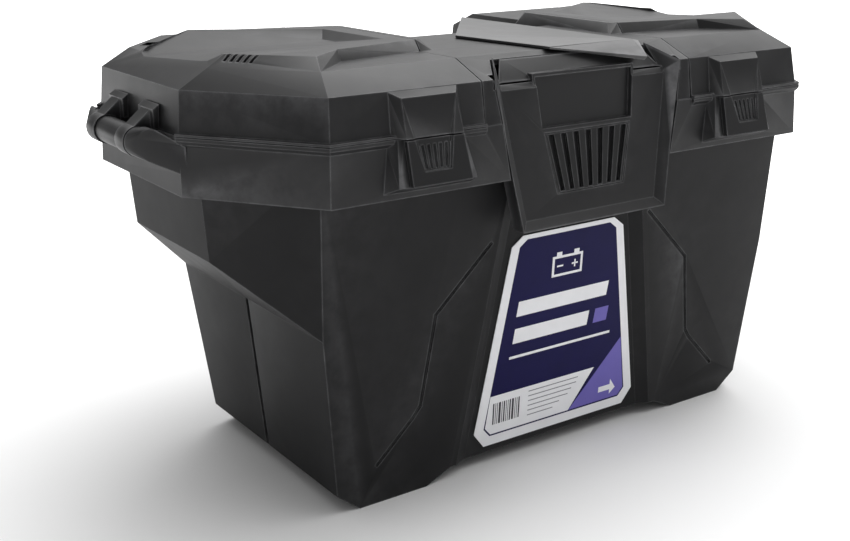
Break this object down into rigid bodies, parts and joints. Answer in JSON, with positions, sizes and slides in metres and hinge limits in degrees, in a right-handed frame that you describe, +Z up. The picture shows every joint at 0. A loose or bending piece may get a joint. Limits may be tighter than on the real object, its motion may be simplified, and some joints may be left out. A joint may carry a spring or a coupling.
{
  "type": "battery box",
  "caption": "Tapered black plastic battery box with a fixed rim and saddle bridge, two end-hinged lids, snap latches, carry bars and a slotted front panel.",
  "frame": {"origin": "bottom centre of the tub, on the plane its feet stand on", "axes": "+X along the length, +Z up, the front panel and label face -Y"},
  "size_m": [0.5076, 0.2898, 0.2673],
  "materials": {
    "shell_black": "satin moulded polypropylene with a fine grain",
    "bar_black": "satin moulded bar",
    "grille_black": "matte slotted insert",
    "label_print": "printed film label, dark blue with a pale border",
    "screw_steel": "plain steel screw"
  },
  "bodies": {
    "base": {"tub": "shell_black", "rim_frame": "shell_black", "top_plate": "shell_black", "label": "label_print", "bar_left": "bar_black", "bar_right": "bar_black", "frame_screw_1": "screw_steel", "frame_screw_2": "screw_steel", "frame_screw_3": "screw_steel", "frame_screw_4": "screw_steel", "frame_screw_5": "screw_steel", "frame_screw_6": "screw_steel"},
    "lid_left_body": {"lid_left": "shell_black", "lid_arm_left_front": "shell_black", "lid_arm_left_rear": "shell_black"},
    "latch_left_front_body": {"latch_left_front": "shell_black"},
    "latch_left_rear_body": {"latch_left_rear": "shell_black"},
    "lid_right_body": {"lid_right": "shell_black", "lid_arm_right_front": "shell_black", "lid_arm_right_rear": "shell_black"},
    "latch_right_front_body": {"latch_right_front": "shell_black"},
    "latch_right_rear_body": {"latch_right_rear": "shell_black"},
    "front_door_body": {"front_door": "shell_black", "front_grille": "grille_black"},
    "rear_door_body": {"rear_door": "shell_black", "rear_grille": "grille_black"}
  },
  "joints": [
    {"name": "lid_left_hinge", "type": "hinge", "parent": "base", "child": "lid_left_body", "pos_m": [-0.24516, 0, 0.21996], "axis": [0, -1, 0], "range_deg": [0, 110]},
    {"name": "latch_left_front_flex", "type": "hinge", "parent": "lid_left_body", "child": "latch_left_front_body", "pos_m": [-0.1215, -0.13806, 0.2255], "axis": [-1, 0, 0], "range_deg": [0, 12], "stiffness_Nm_per_rad": 0.3},
    {"name": "latch_left_rear_flex", "type": "hinge", "parent": "lid_left_body", "child": "latch_left_rear_body", "pos_m": [-0.1215, 0.13806, 0.2255], "axis": [1, 0, 0], "range_deg": [0, 12], "stiffness_Nm_per_rad": 0.3},
    {"name": "lid_right_hinge", "type": "hinge", "parent": "base", "child": "lid_right_body", "pos_m": [0.24516, 0, 0.21996], "axis": [0, 1, 0], "range_deg": [0, 110]},
    {"name": "latch_right_front_flex", "type": "hinge", "parent": "lid_right_body", "child": "latch_right_front_body", "pos_m": [0.1215, -0.13806, 0.2255], "axis": [-1, 0, 0], "range_deg": [0, 12], "stiffness_Nm_per_rad": 0.3},
    {"name": "latch_right_rear_flex", "type": "hinge", "parent": "lid_right_body", "child": "latch_right_rear_body", "pos_m": [0.1215, 0.13806, 0.2255], "axis": [1, 0, 0], "range_deg": [0, 12], "stiffness_Nm_per_rad": 0.3},
    {"name": "front_door_hinge", "type": "hinge", "parent": "base", "child": "front_door_body", "pos_m": [0, -0.10296, 0.2574], "axis": [-1, 0, 0], "range_deg": [0, 8], "stiffness_Nm_per_rad": 1},
    {"name": "rear_door_hinge", "type": "hinge", "parent": "base", "child": "rear_door_body", "pos_m": [0, 0.12807, 0.23724], "axis": [1, 0, 0], "range_deg": [0, 8], "stiffness_Nm_per_rad": 1}
  ]
}
